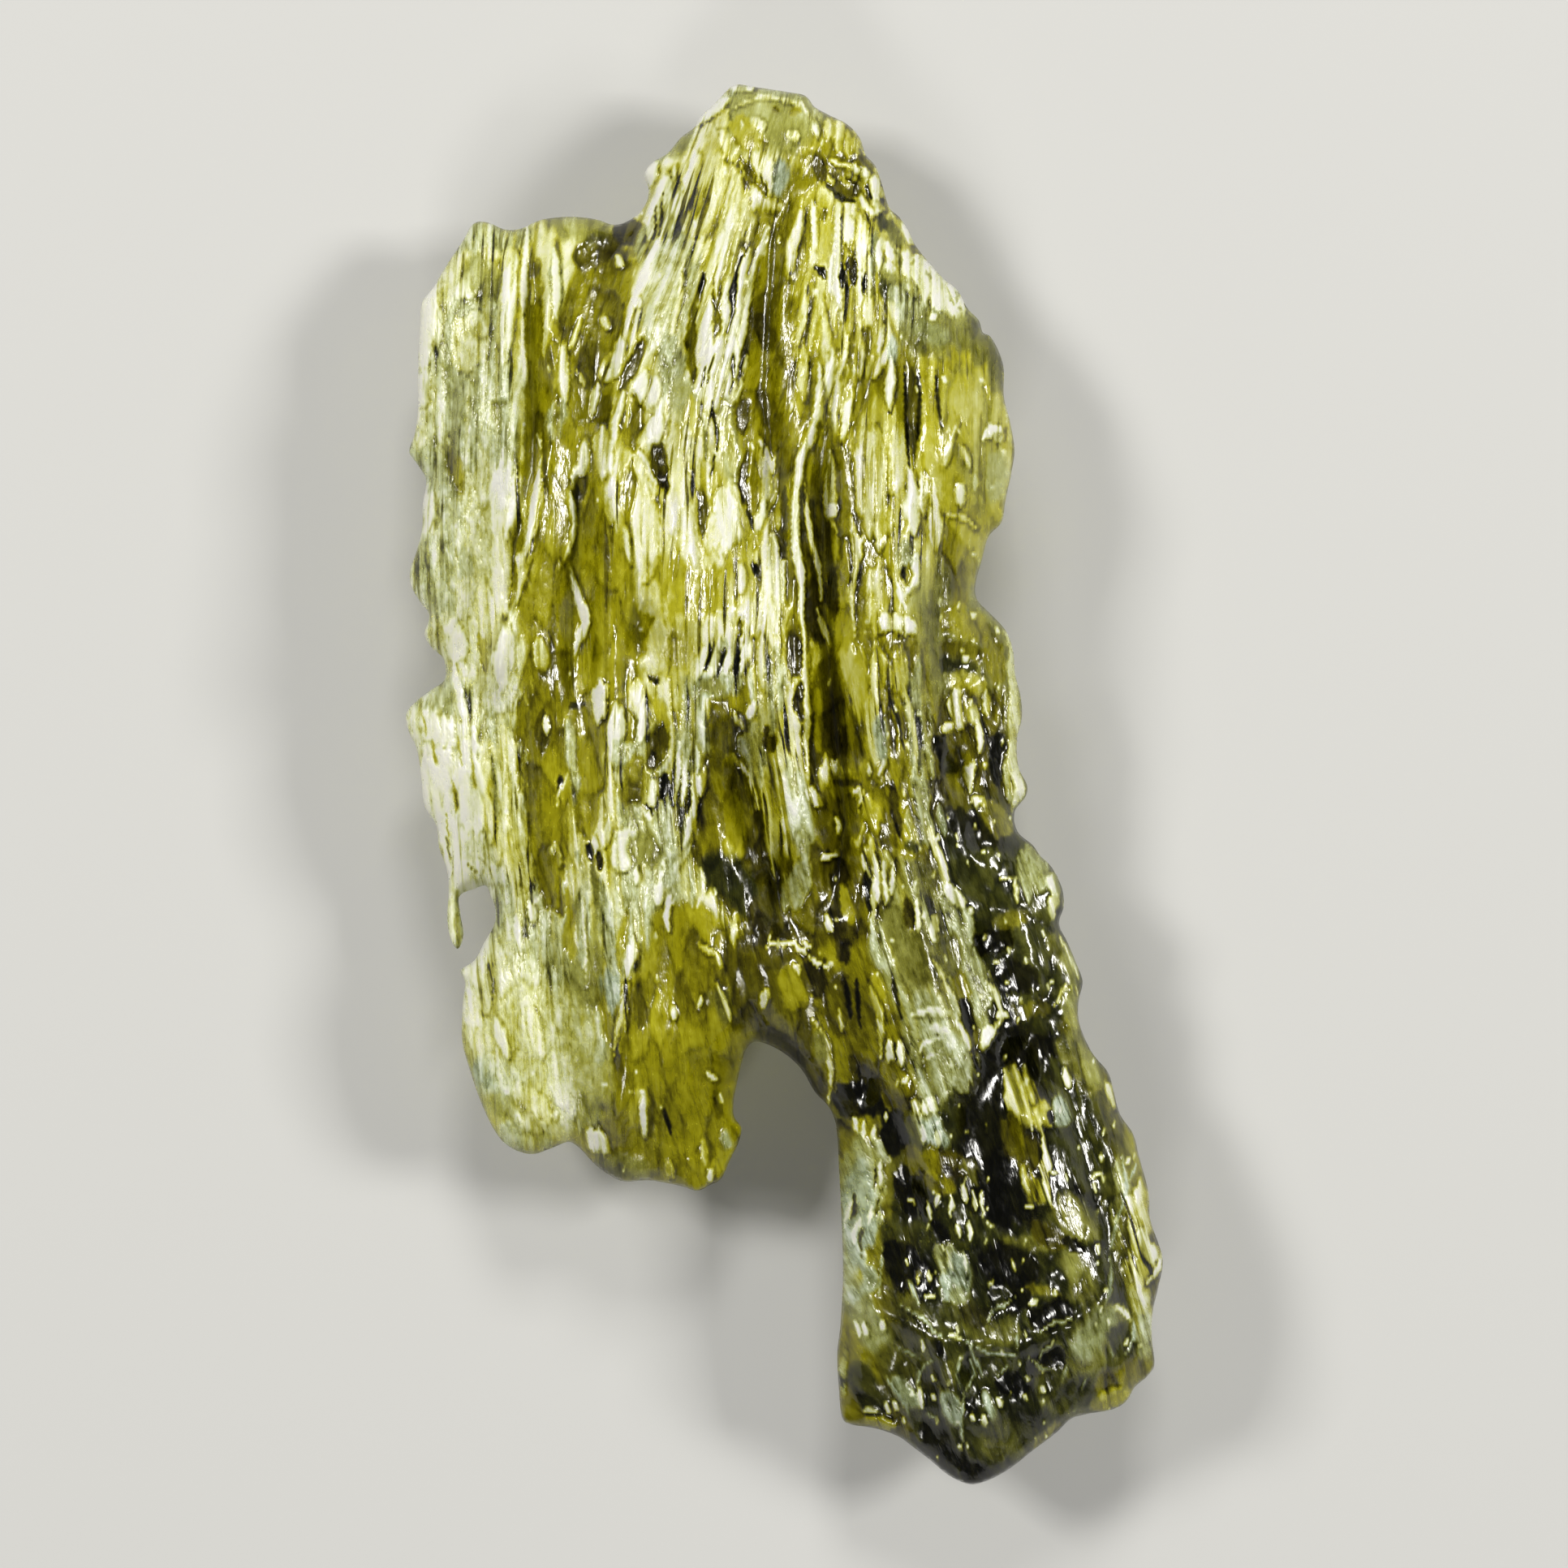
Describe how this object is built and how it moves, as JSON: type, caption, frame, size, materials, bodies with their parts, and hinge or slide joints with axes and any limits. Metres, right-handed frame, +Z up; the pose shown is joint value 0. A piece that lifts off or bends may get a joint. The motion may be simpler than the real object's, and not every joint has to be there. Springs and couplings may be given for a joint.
{
  "type": "moldavite",
  "caption": "Natural flake of clear olive-green tektite glass, etched into long flutes and pits, with a narrow leg beside a notch.",
  "frame": {"origin": "on the surface that the flake lies on, under the middle of its box", "axes": "+Y along the flow of the glass towards the tip, +X across it towards the side of the leg, +Z up through the thickness"},
  "size_m": [0.0188, 0.0348, 0.0056],
  "materials": {
    "olive_glass": "etched, glossy in the pits and frosted on the ribs"
  },
  "bodies": {
    "root": {"moldavite": "olive_glass"}
  },
  "joints": []
}
